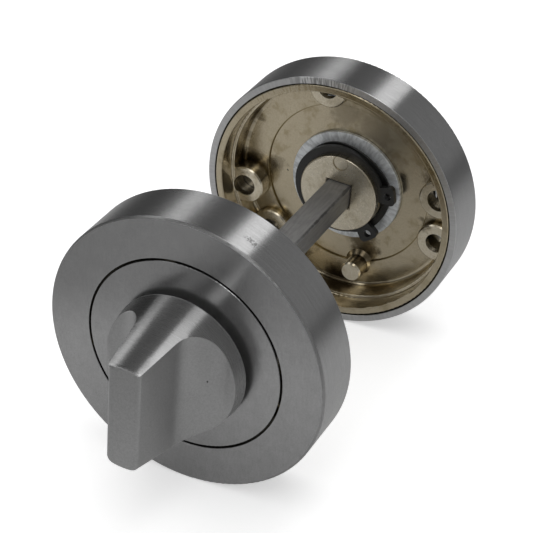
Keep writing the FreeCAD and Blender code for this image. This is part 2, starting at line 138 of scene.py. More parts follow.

# Cover: streaks on its rim, a dull rounded edge, and a faced lip with tool marks, whose light streaks are
# a painted glint in one sector
COVER_ROUGHNESS = (0.24, 0.2)
COVER_FAN = 0.9
FACE_STREAKS = 0.12
RIM_STREAKS = 0.6
RIM_RADII = (25.96, 25.99)
EDGE_RADII = (25.56, 25.64)
EDGE_DEPTHS = (9.54, 9.62)
EDGE_ROUGHNESS = 0.5
LIP_DEPTHS = (0.05, 0.12)
LIP_TONE = 1.4
LIP_EXTRA_ROUGHNESS = 0.12
LIP_MARK_TURNS = 95.0
LIP_MARK_ALONG = 0.3
LIP_MARK_NOISE = (1.0, 1.0, 0.5)
LIP_MARK_SPAN = (0.4, 0.6)
LIP_MARK_TONES = (0.85, 1.8)
LIP_GLINT_PLACE = (-1.8, 45.5, 25.3)
LIP_GLINT_REACH = (3.5, 8.0)
LIP_MARKS_OUTSIDE_GLINT = 0.12

# Satin steel of the turn's flanks and nose, and the dull metal of its neck
SATIN_NOISE = (3.4, 4.0, 0.75)
SATIN_SPAN = (0.32, 0.68)
SATIN_TONES = (0.9, 1.1)
SATIN_CLOUD_NOISE = (0.25, 3.0, 0.5)
SATIN_ROUGHNESS = (0.34, 0.42)
SATIN_BUMP = 0.008
SATIN_BELOW_CONE = (0.1, 0.25)
NECK_NOISE = (3.0, 3.0, 0.5)
NECK_TONES = (1.2, 1.6)
NECK_ROUGHNESS = (0.6, 0.5)
NECK_METALLIC = 0.2
NECK_BLEND = 0.1

# Nickel plate over a die casting
NICKEL = (0.55, 0.485, 0.36)
# painted highlight: a lighter nickel for the tops of the lands, also used for the shaft ends
NICKEL_PAINTED_LIGHT = (0.74, 0.675, 0.54)
NICKEL_STAIN = (0.27, 0.21, 0.1)
# painted shade: the colour of the dark patches of shade and reflection in the outside casting
NICKEL_PAINTED_SHADE = (0.07, 0.05, 0.026)
# painted shade: near black on the casting's side behind the cover, seen through the gap
PAINTED_GAP_SHADE = (0.03, 0.028, 0.022)
NICKEL_ROUGHNESS = (0.26, 0.2)
NICKEL_BUMP = 0.005
SKIN_NOISE = (3.6, 3.0, 0.7)
SKIN_STAIN_SPAN = (0.36, 0.64)
SKIN_STAIN = 0.26
FILM_NOISE = (0.3, 4.0, 0.6)
FILM_SPAN = (0.47, 0.7)
FILM_STAIN = 0.55
HUB_LINE_HALF_WIDTH = 0.22
PAD_LINE_GAP = 0.05
PAD_LINE_HALF_WIDTH = 0.16
LINE_CORE = 0.3
LINE_FADE = 0.4
LINE_STAIN = 0.8
CHATTER_TURNS = 70.0
CHATTER_ALONG = 0.6
CHATTER_NOISE = (1.0, 1.0, 0.5)
CHATTER_SPAN = (0.54, 0.64)
CHATTER_STAIN = 0.5
CHATTER_SECTOR = (0.3, 0.7)
CHATTER_DEPTHS = (0.05, 0.15)

# Plated shaft ends, in the lighter nickel of the painted highlight on the lands
SHAFT_NOISE = (2.6, 4.0, 0.7)
SHAFT_TONE = 0.84
SHAFT_ROUGHNESS = (0.34, 0.26)
SHAFT_BUMP = 0.006
SHAFT_FILM_NOISE = (0.35, 3.0, 0.6)
SHAFT_FILM_SPAN = (0.5, 0.75)
SHAFT_FILM_STAIN = 0.4
HALO_RAGGED = 4.0
HALO_RADII = (4.8, 7.2)
HALO_STAIN = 0.36
EJECTOR_PLACE = (0.415, 0.0, 6.787)
EJECTOR_RADIUS = 1.5
EJECTOR_HALF_WIDTH = 0.14
EJECTOR_STAIN = 0.6

# Zinc plate and blackened spring steel
ZINC = (0.84, 0.87, 0.89)
ZINC_TONE = 0.7
ZINC_TURNS = 14.0
ZINC_ALONG = 0.5
ZINC_NOISE = (1.0, 3.0, 0.6)
ZINC_SPAN = (0.36, 0.64)
ZINC_ROUGHNESS = (0.42, 0.34)
ZINC_BUMP = 0.01
ZINC_METALLIC = 0.5
BLACK_STEEL = (0.014, 0.014, 0.013)
BLACK_TONES = (0.7, 1.3)
BLACK_NOISE = (2.0, 3.0, 0.5)
BLACK_ROUGHNESS = (0.3, 0.42)
BLACK_BUMP = 0.01

# Drawn spindle bar, with painted shade on its end in the release and a torn seam on one ridge
SPINDLE = (0.38, 0.38, 0.383)
SPINDLE_TONES = (0.82, 0.98)
SPINDLE_ROUGHNESS = (0.5, 0.4)
SPINDLE_BUMP = 0.008
SPINDLE_METALLIC = 0.65
DRAWN_STRETCH = (1.0, 0.12, 1.0)
DRAWN_NOISE = (2.4, 3.0, 0.6)
DRAWN_SPAN = (0.35, 0.65)
PATCH_NOISE = (0.35, 4.0, 0.6)
PATCH_SPAN = (0.54, 0.68)
PATCH_SHARE = 0.3
PATCH_TONE = 0.45
PAINTED_END_SHADE = (34.0, 47.0)
PAINTED_END_SHADE_SHARE = 0.45
PAINTED_END_SHADE_TONE = 0.4
SEAM_RIDGE = (2.56, 0.0, 2.19)
SEAM_COLOUR = (0.03, 0.03, 0.03)
SEAM_MIDDLE = 0.4
SEAM_RAGGED = 1.2
SEAM_EDGE = 0.28
SEAM_NOISE = (0.08, 1.0, 0.5)
SEAM_SPAN = (0.4, 0.6)
SEAM_SHARES = (0.3, 0.75)

# Pits, each as x, y, z, reach and how nearly it fills that reach, in millimetres
PIT = (0.06, 0.06, 0.058)
PIT_NOISE = (2.6, 2.0, 0.5)
PIT_HEART = 0.2
PIT_OUTSIDE = -0.3
PIT_EDGE = (0.62, 0.76)
RIM_PITS = (
    (9.8, -6.4, 24.0, 0.7, 0.26),
    (10.7, -6.2, 23.7, 1.6, 0.2),
    (11.7, -6.6, 23.2, 1.3, 0.18),
)
RIM_PITS_SHARE = 0.6
BLADE_PITS = ((7.3, -15.0, 0.6, 0.5, 0.36), (6.2, -14.9, -4.6, 0.25, 0.3))
CASTING_PITS = ((-12.88, 53.9, -0.34, 0.4, 0.36),)

# Painted shade and dark reflections in the outside casting, each as x, y, z, reach and strength, in
# millimetres
SHADE_PATCH_NOISE = (0.7, 3.0, 0.6)
SHADE_PATCH_RAGGED = 5.0
SHADE_PATCH_HEART = 0.45
CASTING_SHADE_PATCHES = (
    (-21.3, 53.9, -1.0, 4.6, 0.80), (-24.4, 52.0, -0.6, 2.6, 0.60), (-20.2, 53.5, 10.9, 2.6, 0.65),
    (-22.6, 53.5, 5.8, 2.6, 0.40), (-15.3, 53.9, 0.6, 2.2, 0.40), (4.0, 53.9, -13.1, 4.2, 0.85),
    (-1.2, 53.5, -23.0, 5.4, 0.90), (17.6, 53.9, 5.9, 2.6, 0.55), (17.7, 53.9, -4.0, 2.4, 0.65),
    (-17.6, 52.0, -2.0, 2.6, 0.40), (-10.0, 53.9, -20.1, 4.0, 0.60), (7.5, 53.6, -21.0, 3.4, 0.50),
    (-0.9, 53.9, 15.1, 4.2, 0.35), (5.2, 53.9, 12.4, 4.6, 0.30), (9.7, 53.9, 7.1, 3.6, 0.30),
)

# Torn flash along a casting's inner edge: sectors in degrees, sizes in millimetres
FLASH_SECTORS = ((24.0, 86.0), (113.0, 124.0), (228.0, 318.0))
FLASH_SEED = 5
FLASH_STEP = 1.0
FLASH_WIDTHS = (0.5, 1.5)
FLASH_REACH = 0.34
FLASH_REACHES = (0.3, 1.0)
FLASH_REACH_POWER = 1.5
FLASH_GAPS = (0.1, 0.4)
FLASH_TOOTH = (0.25, 0.75)
FLASH_SLANTS = (0.6, 1.0)
FLASH_ROOT = 0.26
FLASH_TOP = 0.03
FLASH_TIP = 0.14
FLASH_FOOT = 0.4
FLASH_CORNERS = 4


def grey(level):
    """A neutral colour."""
    return (level, level, level)


def scaled(colour, factor):
    """A colour made lighter or darker."""
    return tuple(channel * factor for channel in colour)


def add_node(tree, kind, **settings):
    """A shader node with its settings."""
    made = tree.nodes.new(kind)
    for key, value in settings.items():
        setattr(made, key, value)
    return made


def feed(tree, socket, source):
    """Gives a socket a number, or links it to another socket."""
    if isinstance(source, (int, float)):
        socket.default_value = source
    else:
        tree.links.new(source, socket)


def value_of(tree, operation, *sources):
    """The result of one Math node on sockets or numbers."""
    made = add_node(tree, "ShaderNodeMath", operation=operation)
    for socket, source in zip(made.inputs, sources):
        feed(tree, socket, source)
    return made.outputs[0]


def most(tree, sources):
    """The highest of several values."""
    found = sources[0]
    for source in sources[1:]:
        found = value_of(tree, "MAXIMUM", found, source)
    return found


def vector_of(tree, x, y, z):
    """A vector from three sockets or numbers."""
    joined = add_node(tree, "ShaderNodeCombineXYZ")
    for socket, source in zip(joined.inputs, (x, y, z)):
        feed(tree, socket, source)
    return joined.outputs[0]


def split_vector(tree, vector):
    """The three parts of a vector socket."""
    split = add_node(tree, "ShaderNodeSeparateXYZ")
    tree.links.new(vector, split.inputs[0])
    return split.outputs


def ramp(tree, source, low, high, low_value=0.0, high_value=1.0):
    """A smooth step of a value between two limits."""
    made = add_node(tree, "ShaderNodeMapRange", interpolation_type="SMOOTHSTEP", clamp=True)
    tree.links.new(source, made.inputs["Value"])
    names = ("From Min", "From Max", "To Min", "To Max")
    for name, value in zip(names, (low, high, low_value, high_value)):
        feed(tree, made.inputs[name], value)
    return made.outputs["Result"]


def noise(tree, vector, scale, detail, roughness):
    """A noise value from a vector socket."""
    made = add_node(tree, "ShaderNodeTexNoise")
    tree.links.new(vector, made.inputs["Vector"])
    for name, value in (("Scale", scale), ("Detail", detail), ("Roughness", roughness)):
        made.inputs[name].default_value = value
    return made.outputs["Fac"]


def distance(tree, vector, place):
    """How far a point socket is from a fixed place."""
    away = add_node(tree, "ShaderNodeVectorMath", operation="DISTANCE")
    tree.links.new(vector, away.inputs[0])
    away.inputs[1].default_value = place
    return away.outputs["Value"]


def stretched(tree, vector, factors):
    """A vector drawn out or squeezed along each axis."""
    made = add_node(tree, "ShaderNodeVectorMath", operation="MULTIPLY")
    tree.links.new(vector, made.inputs[0])
    made.inputs[1].default_value = factors
    return made.outputs[0]


def colour_socket(sockets, name=None):
    """The colour socket among a Mix node's sockets, which has one set of them for each data type."""
    found = [item for item in sockets if item.type == "RGBA" and name in (None, item.name)]
    return found[0]


def mix_colours(tree, factor, first, second):
    """A colour between two, each a socket or three numbers."""
    made = add_node(tree, "ShaderNodeMix", data_type="RGBA")
    tree.links.new(factor, made.inputs["Factor"])
    for name, source in (("A", first), ("B", second)):
        socket = colour_socket(made.inputs, name)
        if isinstance(source, tuple):
            socket.default_value = source + (1.0,)
        else:
            tree.links.new(source, socket)
    return colour_socket(made.outputs)


def two_tones(tree, factor, colour, dark, light):
    """A colour between a darker and a lighter tone of one metal."""
    return mix_colours(tree, factor, scaled(colour, dark), scaled(colour, light))


def part_axes(tree):
    """Sockets in millimetres: the point, its flat place, height along Y, radius and depth from the door.

    The cosine and sine tell the way round the spindle.
    """
    place = add_node(tree, "ShaderNodeTexCoord").outputs["Object"]
    grown = add_node(tree, "ShaderNodeVectorMath", operation="SCALE")
    tree.links.new(place, grown.inputs[0])
    grown.inputs["Scale"].default_value = 1.0 / MM
    x, y, z = split_vector(tree, grown.outputs[0])
    flat = vector_of(tree, x, 0.0, z)
    radius = value_of(tree, "MAXIMUM", distance(tree, flat, ORIGIN), SMALLEST_RADIUS)
    from_middle = value_of(tree, "ABSOLUTE", value_of(tree, "SUBTRACT", y, DOOR_THICKNESS / 2))
    return {
        "point": grown.outputs[0],
        "flat": flat,
        "y": y,
        "radius": radius,
        "depth": value_of(tree, "SUBTRACT", from_middle, DOOR_THICKNESS / 2),
        "cosine": value_of(tree, "DIVIDE", x, radius),
        "sine": value_of(tree, "DIVIDE", z, radius),
    }


def round_vector(tree, axes, turns, middle):
    """A vector that changes with the way round the spindle, with a given middle part."""
    return vector_of(
        tree,
        value_of(tree, "MULTIPLY", axes["cosine"], turns),
        middle,
        value_of(tree, "MULTIPLY", axes["sine"], turns),
    )


def rings(tree, axes, turns, across):
    """A vector for marks that run round the spindle: slow round it and quick across it."""
    outwards = value_of(tree, "ADD", axes["radius"], axes["y"])
    return round_vector(tree, axes, turns, value_of(tree, "MULTIPLY", outwards, across))


def spokes(tree, axes, turns, along):
    """A vector for marks that run out from the spindle: quick round it and slow along the radius."""
    return round_vector(tree, axes, turns, value_of(tree, "MULTIPLY", axes["radius"], along))


def pits(tree, axes, places):
    """1 inside small ragged pits."""
    ragged = noise(tree, axes["point"], *PIT_NOISE)
    near = []
    for x, y, z, reach, fill in places:
        away = distance(tree, axes["point"], (x, y, z))
        near.append(ramp(tree, away, reach * PIT_HEART, reach, fill, PIT_OUTSIDE))
    return ramp(tree, value_of(tree, "ADD", ragged, most(tree, near)), *PIT_EDGE)


def circle_line(tree, axes, centre, radius, half_width):
    """1 on a thin circle in the rose's plane, fading over its half width."""
    away = value_of(tree, "SUBTRACT", distance(tree, axes["flat"], centre), radius)
    away = value_of(tree, "ABSOLUTE", away)
    return ramp(tree, away, half_width * LINE_CORE, half_width, 1.0, 0.0)


def shade_patches(tree, axes, places):
    """How far soft ragged patches of painted shade and painted dark reflection cover the metal."""
    ragged = noise(tree, axes["point"], *SHADE_PATCH_NOISE)
    shift = value_of(tree, "SUBTRACT", ragged, NOISE_MIDDLE)
    shift = value_of(tree, "MULTIPLY", shift, SHADE_PATCH_RAGGED)
    near = []
    for x, y, z, reach, strength in places:
        away = value_of(tree, "ADD", distance(tree, axes["point"], (x, y, z)), shift)
        near.append(ramp(tree, away, reach * SHADE_PATCH_HEART, reach, strength, 0.0))
    return most(tree, near)


def casting_lines(tree, axes):
    """1 in the narrow corners of the casting where stain collects: round the hub and round each pad."""
    found = [circle_line(tree, axes, ORIGIN, HUB_STEP_RADIUS, HUB_LINE_HALF_WIDTH)]
    for angle in PAD_ANGLES:
        turn = math.radians(angle)
        centre = (PAD_PITCH_RADIUS * math.cos(turn), 0.0, PAD_PITCH_RADIUS * math.sin(turn))
        radius = PAD_RADIUS + PAD_LINE_GAP
        found.append(circle_line(tree, axes, centre, radius, PAD_LINE_HALF_WIDTH))
    below_land = ramp(tree, axes["depth"], LAND_DEPTH, LAND_DEPTH + LINE_FADE)
    return value_of(tree, "MULTIPLY", most(tree, found), below_land)


def new_material(name):
    """An empty node material with its output node."""
    material = bpy.data.materials.new(name)
    material.use_nodes = True
    material.node_tree.nodes.clear()
    output = add_node(material.node_tree, "ShaderNodeOutputMaterial")
    return material, material.node_tree, output


def principled(tree, colour, roughness, height=None, bump=0.0, metallic=1.0, anisotropic=0.0):
    """A Principled shader with colour and roughness sockets and an optional bump in millimetres."""
    shader = add_node(tree, "ShaderNodeBsdfPrincipled")
    tree.links.new(colour, shader.inputs["Base Color"])
    tree.links.new(roughness, shader.inputs["Roughness"])
    shader.inputs["Metallic"].default_value = metallic
    if anisotropic:
        shader.inputs["Anisotropic"].default_value = anisotropic
        shader.inputs["Anisotropic Rotation"].default_value = BRUSH_TURN
        tangent = add_node(tree, "ShaderNodeTangent", direction_type="RADIAL", axis="Y")
        tree.links.new(tangent.outputs[0], shader.inputs["Tangent"])
    if height is not None:
        lift = add_node(tree, "ShaderNodeBump")
        lift.inputs["Distance"].default_value = bump * MM
        tree.links.new(height, lift.inputs["Height"])
        tree.links.new(lift.outputs[0], shader.inputs["Normal"])
    return shader


def gloss(tree, marks, roughness):
    """Roughness between two levels, following the marks."""
    return ramp(tree, marks, *NOISE_SPAN, *roughness)


def mix_shaders(tree, factor, first, second):
    """Two shaders by a factor socket."""
    both = add_node(tree, "ShaderNodeMixShader")
    tree.links.new(factor, both.inputs[0])
    tree.links.new(first.outputs[0], both.inputs[1])
    tree.links.new(second.outputs[0], both.inputs[2])
    return both


def finish_material(name, make_shader):
    """A material from a function that gives its shader from the tree and the part's axes."""
    material, tree, output = new_material(name)
    tree.links.new(make_shader(tree, part_axes(tree)).outputs[0], output.inputs["Surface"])
    return material


def brushed_colour(tree, axes, streak_share):
    """The colour and the height of brushed steel: streaks round the spindle over a fine grain."""
    streaks = noise(tree, rings(tree, axes, STREAK_TURNS, STREAK_ACROSS), *STREAK_NOISE)
    grain = noise(tree, axes["point"], *GRAIN_NOISE)
    cloud = noise(tree, axes["point"], *CLOUD_NOISE)
    scratches = noise(tree, stretched(tree, axes["point"], SCRATCH_STRETCH), *SCRATCH_NOISE)
    fine = value_of(tree, "MULTIPLY", grain, GRAIN_SHARE)
    fine = value_of(tree, "MULTIPLY_ADD", cloud, CLOUD_SHARE, fine)
    fine = value_of(tree, "MULTIPLY_ADD", scratches, SCRATCH_SHARE, fine)
    apart = value_of(tree, "MULTIPLY", value_of(tree, "SUBTRACT", streaks, fine), streak_share)
    blend = value_of(tree, "ADD", fine, apart)
    return two_tones(tree, ramp(tree, blend, *BRUSH_SPAN), grey(STEEL), *BRUSH_TONES), blend


def brushed_shader(tree, axes, streak_share, roughness, fan):
    """Steel brushed round the spindle, which fans its highlights out across the brushing."""
    colour, blend = brushed_colour(tree, axes, streak_share)
    return principled(tree, colour, gloss(tree, blend, roughness), blend, BRUSH_BUMP, anisotropic=fan)


def turned_shader(tree, axes):
    """The turned cone and the release button, with clear turning marks."""
    return brushed_shader(tree, axes, CONE_STREAKS, CONE_ROUGHNESS, CONE_FAN)


def disc_shader(tree, axes):
    """The flush disc, a little smoother, whose turning marks are too fine to see."""
    return brushed_shader(tree, axes, DISC_STREAKS, DISC_ROUGHNESS, DISC_FAN)


def satin_shader(tree, axes):
    """Steel with a fine even grain and a few pits."""
    grain = noise(tree, axes["point"], *SATIN_NOISE)
    soft = noise(tree, axes["point"], *SATIN_CLOUD_NOISE)
    colour = two_tones(tree, ramp(tree, grain, *SATIN_SPAN), grey(STEEL), *SATIN_TONES)
    colour = mix_colours(tree, pits(tree, axes, BLADE_PITS), colour, PIT)
    return principled(tree, colour, gloss(tree, soft, SATIN_ROUGHNESS), grain, SATIN_BUMP)


def lip_colour(tree, axes):
    """The colour of the cover's faced lip, with radial tool marks that are clearest and lightest in one
    sector, where they are a painted glint.
    """
    marks = noise(tree, spokes(tree, axes, LIP_MARK_TURNS, LIP_MARK_ALONG), *LIP_MARK_NOISE)
    marked = two_tones(tree, ramp(tree, marks, *LIP_MARK_SPAN), grey(STEEL), *LIP_MARK_TONES)
    # painted highlight: the tool marks' light streaks are strongest round one place on the lip, a painted
    # glint
    away = distance(tree, axes["point"], LIP_GLINT_PLACE)
    glint_sector = ramp(tree, away, *LIP_GLINT_REACH, 1.0, LIP_MARKS_OUTSIDE_GLINT)
    return mix_colours(tree, glint_sector, grey(STEEL * LIP_TONE), marked)


def cover_roughness(tree, axes, blend, lip):
    """The cover's roughness: duller on its lip and on the rounded edge of its face."""
    level = value_of(tree, "MULTIPLY_ADD", lip, LIP_EXTRA_ROUGHNESS, gloss(tree, blend, COVER_ROUGHNESS))
    outer = ramp(tree, axes["radius"], *EDGE_RADII)
    edge = value_of(tree, "MULTIPLY", outer, ramp(tree, axes["depth"], *EDGE_DEPTHS))
    return value_of(tree, "MAXIMUM", level, value_of(tree, "MULTIPLY", edge, EDGE_ROUGHNESS))


def cover_shader(tree, axes):
    """The cover: brushed steel with pits on its rim and a faced lip."""
    streak_share = ramp(tree, axes["radius"], *RIM_RADII, FACE_STREAKS, RIM_STREAKS)
    colour, blend = brushed_colour(tree, axes, streak_share)
    lip = ramp(tree, axes["depth"], *LIP_DEPTHS, 1.0, 0.0)
    colour = mix_colours(tree, lip, colour, lip_colour(tree, axes))
    worn = value_of(tree, "MULTIPLY", pits(tree, axes, RIM_PITS), RIM_PITS_SHARE)
    colour = mix_colours(tree, worn, colour, PIT)
    level = cover_roughness(tree, axes, blend, lip)
    return principled(tree, colour, level, blend, BRUSH_BUMP, anisotropic=COVER_FAN)


def chatter_stain(tree, axes):
    """Stain in the chatter marks on the upper part of the ring's lip."""
    marks = noise(tree, spokes(tree, axes, CHATTER_TURNS, CHATTER_ALONG), *CHATTER_NOISE)
    upper = ramp(tree, axes["sine"], *CHATTER_SECTOR)
    lip = ramp(tree, axes["depth"], *CHATTER_DEPTHS, upper, 0.0)
    return value_of(tree, "MULTIPLY", lip, ramp(tree, marks, *CHATTER_SPAN, 0.0, CHATTER_STAIN))


def nickel_stain(tree, axes, skin):
    """How far brown stain covers the plate: a cloudy film, the skin's low spots, corners and chatter."""
    cloud = noise(tree, axes["point"], *FILM_NOISE)
    return most(tree, [
        value_of(tree, "MULTIPLY", ramp(tree, cloud, *FILM_SPAN), FILM_STAIN),
        ramp(tree, skin, *SKIN_STAIN_SPAN, SKIN_STAIN, 0.0),
        value_of(tree, "MULTIPLY", casting_lines(tree, axes), LINE_STAIN),
        chatter_stain(tree, axes),
    ])


def nickel_shader(tree, axes):
    """Glossy nickel plate over a die casting: a painted highlight on the lands, stains, patches of painted
    shade and dark reflection, and painted shade behind the cover.
    """
    depth = axes["depth"]
    skin = noise(tree, axes["point"], *SKIN_NOISE)
    # painted highlight: the lands' tops lighter than the rest of the plate
    land_highlight = ramp(tree, depth, LAND_DEPTH - LAND_BLEND, LAND_DEPTH + LAND_BLEND, 1.0, 0.0)
    land_highlight = value_of(tree, "MULTIPLY", land_highlight, ramp(tree, depth, *LAND_TOP))
    # painted shade: the casting's side behind the cover, from this depth on
    gap_shade = ramp(tree, depth, HIDDEN_DEPTH, HIDDEN_DEPTH + HIDDEN_BLEND)
    colour = mix_colours(tree, land_highlight, NICKEL, NICKEL_PAINTED_LIGHT)
    colour = mix_colours(tree, nickel_stain(tree, axes, skin), colour, NICKEL_STAIN)
    # painted shade and painted dark reflections, as dark patches in the outside casting
    colour = mix_colours(tree, shade_patches(tree, axes, CASTING_SHADE_PATCHES), colour, NICKEL_PAINTED_SHADE)
    colour = mix_colours(tree, pits(tree, axes, CASTING_PITS), colour, PIT)
    # painted shade in the gap behind the cover
    colour = mix_colours(tree, gap_shade, colour, PAINTED_GAP_SHADE)
    return principled(tree, colour, gloss(tree, skin, NICKEL_ROUGHNESS), skin, NICKEL_BUMP)


def shaft_stain(tree, axes):
    """How far stain covers a shaft's end: a film, a ragged halo round the socket and an ejector ring."""
    cloud = noise(tree, axes["point"], *SHAFT_FILM_NOISE)
    halo = value_of(tree, "ADD", axes["radius"], value_of(tree, "MULTIPLY", cloud, HALO_RAGGED))
    ejector = circle_line(tree, axes, EJECTOR_PLACE, EJECTOR_RADIUS, EJECTOR_HALF_WIDTH)
    return most(tree, [
        value_of(tree, "MULTIPLY", ramp(tree, cloud, *SHAFT_FILM_SPAN), SHAFT_FILM_STAIN),
        ramp(tree, halo, *HALO_RADII, HALO_STAIN, 0.0),
        value_of(tree, "MULTIPLY", ejector, EJECTOR_STAIN),
    ])


def shaft_shader(tree, axes):
    """The plated end of a shaft, in the lighter nickel of the painted highlight on the lands."""
    skin = noise(tree, axes["point"], *SHAFT_NOISE)
    # painted highlight: the shaft end in the lighter nickel
    colour = two_tones(tree, ramp(tree, skin, *NOISE_SPAN), NICKEL_PAINTED_LIGHT, SHAFT_TONE, 1.0)
    colour = mix_colours(tree, shaft_stain(tree, axes), colour, NICKEL_STAIN)
    return principled(tree, colour, gloss(tree, skin, SHAFT_ROUGHNESS), skin, SHAFT_BUMP)


def on_shaft(tree, axes, outer_shader):
    """A shader for the piece outside the rose, with the plated shaft end inside it."""
    outer = ramp(tree, axes["depth"], SHAFT_DEPTH, SHAFT_DEPTH + SHAFT_BLEND)
    return mix_shaders(tree, outer, shaft_shader(tree, axes), outer_shader)


def neck_shader(tree, axes):
    """The dull unbrushed metal of the neck and of the cone's back."""
    grain = noise(tree, axes["point"], *NECK_NOISE)
    colour = two_tones(tree, grain, grey(STEEL), *NECK_TONES)
    return principled(tree, colour, gloss(tree, grain, NECK_ROUGHNESS), metallic=NECK_METALLIC)


def turn_shader(tree, axes):
    """The thumb turn: a brushed cone with satin flanks and nose, on a dull neck and a plated shaft end."""
    slope = (CONE_BASE_RADIUS - CONE_NOSE_RADIUS) / (CONE_NOSE_DEPTH - CONE_BASE_DEPTH)
    behind_nose = value_of(tree, "SUBTRACT", CONE_NOSE_DEPTH, axes["depth"])
    cone = value_of(tree, "MULTIPLY_ADD", behind_nose, slope, CONE_NOSE_RADIUS)
    scooped = ramp(tree, value_of(tree, "SUBTRACT", cone, axes["radius"]), *SATIN_BELOW_CONE)
    steel = mix_shaders(tree, scooped, turned_shader(tree, axes), satin_shader(tree, axes))
    past_neck = ramp(tree, axes["depth"], NECK_DEPTH, NECK_DEPTH + NECK_BLEND)
    return on_shaft(tree, axes, mix_shaders(tree, past_neck, neck_shader(tree, axes), steel))


def release_shader(tree, axes):
    """The coin release: a brushed button on a plated shaft end."""
    return on_shaft(tree, axes, turned_shader(tree, axes))


def zinc_shader(tree, axes):
    """A zinc-plated washer with a mottled skin that runs outwards."""
    mottle = noise(tree, spokes(tree, axes, ZINC_TURNS, ZINC_ALONG), *ZINC_NOISE)
    colour = two_tones(tree, ramp(tree, mottle, *ZINC_SPAN), ZINC, ZINC_TONE, 1.0)
    level = gloss(tree, mottle, ZINC_ROUGHNESS)
    return principled(tree, colour, level, mottle, ZINC_BUMP, metallic=ZINC_METALLIC)


def black_shader(tree, axes):
    """Blackened spring steel with an oily sheen."""
    grain = noise(tree, axes["point"], *BLACK_NOISE)
    colour = two_tones(tree, grain, BLACK_STEEL, *BLACK_TONES)
    return principled(tree, colour, gloss(tree, grain, BLACK_ROUGHNESS), grain, BLACK_BUMP, metallic=0.0)


def seam_share(tree, axes, patches):
    """How far the torn seam covers the bar: a ragged line along one ridge that comes and goes."""
    torn = value_of(tree, "SUBTRACT", patches, SEAM_MIDDLE)
    torn = value_of(tree, "MULTIPLY", torn, SEAM_RAGGED)
    away = value_of(tree, "SUBTRACT", distance(tree, axes["flat"], SEAM_RIDGE), torn)
    strength = ramp(tree, noise(tree, axes["point"], *SEAM_NOISE), *SEAM_SPAN, *SEAM_SHARES)
    return value_of(tree, "MULTIPLY", ramp(tree, away, 0.0, SEAM_EDGE, 1.0, 0.0), strength)


def bar_shader(tree, axes):
    """Dull drawn bar with marks along its length, darker patches, painted shade on its end and a torn
    black seam.
    """
    lines = noise(tree, stretched(tree, axes["point"], DRAWN_STRETCH), *DRAWN_NOISE)
    patches = noise(tree, axes["point"], *PATCH_NOISE)
    patched = ramp(tree, patches, *PATCH_SPAN, 0.0, PATCH_SHARE)
    # painted shade: the bar darker towards its end in the release
    end_shade = ramp(tree, axes["y"], *PAINTED_END_SHADE, 0.0, PAINTED_END_SHADE_SHARE)
    colour = two_tones(tree, ramp(tree, lines, *DRAWN_SPAN), SPINDLE, *SPINDLE_TONES)
    colour = mix_colours(tree, patched, colour, scaled(SPINDLE, PATCH_TONE))
    colour = mix_colours(tree, end_shade, colour, scaled(SPINDLE, PAINTED_END_SHADE_TONE))
    colour = mix_colours(tree, seam_share(tree, axes, patches), colour, SEAM_COLOUR)
    level = gloss(tree, lines, SPINDLE_ROUGHNESS)
    return principled(tree, colour, level, lines, SPINDLE_BUMP, metallic=SPINDLE_METALLIC)


def give(node_objects, finishes):
    """Puts one finish on each node's material slots."""
    for name, thing in node_objects.items():
        finish = finishes[name]
        if not thing.material_slots:
            thing.data.materials.append(finish)
        for place in thing.material_slots:
            place.material = finish


def add_object(name, data):
    """An object of its own in the scene."""
    made = bpy.data.objects.new(name, data)
    bpy.context.scene.collection.objects.link(made)
    return made


def add_mesh(name, points, faces, material):
    """A mesh object with one material."""
    data = bpy.data.meshes.new(name)
    data.from_pydata(points, [], faces)
    data.update()
    data.materials.append(material)
    return add_object(name, data)


def flash_outline(rng, start, end):
    """Angles and reaches of the torn edge in one sector, as alternating gaps and teeth."""
    outline = []
    angle = start
    while angle < end:
        width = FLASH_STEP * rng.uniform(*FLASH_WIDTHS)
        reach = FLASH_REACH * rng.uniform(*FLASH_REACHES) ** FLASH_REACH_POWER
        outline.append((angle, reach * rng.uniform(*FLASH_GAPS)))
        outline.append((angle + width * FLASH_TOOTH[0], reach))
        outline.append((angle + width * FLASH_TOOTH[1], reach * rng.uniform(*FLASH_SLANTS)))
        angle += width
    return outline


def flash_section(angle, reach):
    """The four points of the flash at one angle, from its face to its foot, with Y as the depth."""
    turn = math.radians(angle)
    root = RING_INNER_RADIUS + FLASH_ROOT
    tip = RING_INNER_RADIUS - reach
    corners = ((root, FLASH_TOP), (tip, FLASH_TOP), (tip, FLASH_TIP), (root, FLASH_FOOT))
    return [(radius * math.cos(turn), depth, radius * math.sin(turn)) for radius, depth in corners]


def flash_faces(first, sections):
    """The faces of one sector's teeth: four sides between sections, and a cap at each end."""
    faces = []
    for low in range(first, first + FLASH_CORNERS * (sections - 1), FLASH_CORNERS):
        high = low + FLASH_CORNERS
        for side in range(FLASH_CORNERS):
            after = (side + 1) % FLASH_CORNERS
            faces.append((low + side, high + side, high + after, low + after))
    last = first + FLASH_CORNERS * (sections - 1)
    faces.append(tuple(first + corner for corner in range(FLASH_CORNERS)))
    faces.append(tuple(last + corner for corner in reversed(range(FLASH_CORNERS))))
    return faces


def add_flash(name, body, door_plane, outwards, finish):
    """The torn flash along the inner edge of a casting's ring, as thin teeth over the bore."""
    rng = random.Random(FLASH_SEED)
    points = []
    faces = []
    for start, end in FLASH_SECTORS:
        outline = flash_outline(rng, start, end)
        faces += flash_faces(len(points), len(outline))
        for angle, reach in outline:
            for x, depth, z in flash_section(angle, reach):
                points.append((x * MM, (door_plane + outwards * depth) * MM, z * MM))
    thing = add_mesh(name, points, [face[::int(outwards)] for face in faces], finish)
    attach(thing, body)


def straight_rays(tree, path):
    """1 on rays that reach the camera directly or through something clear."""
    return most(tree, [path.outputs["Is Camera Ray"], path.outputs["Is Transmission Ray"]])


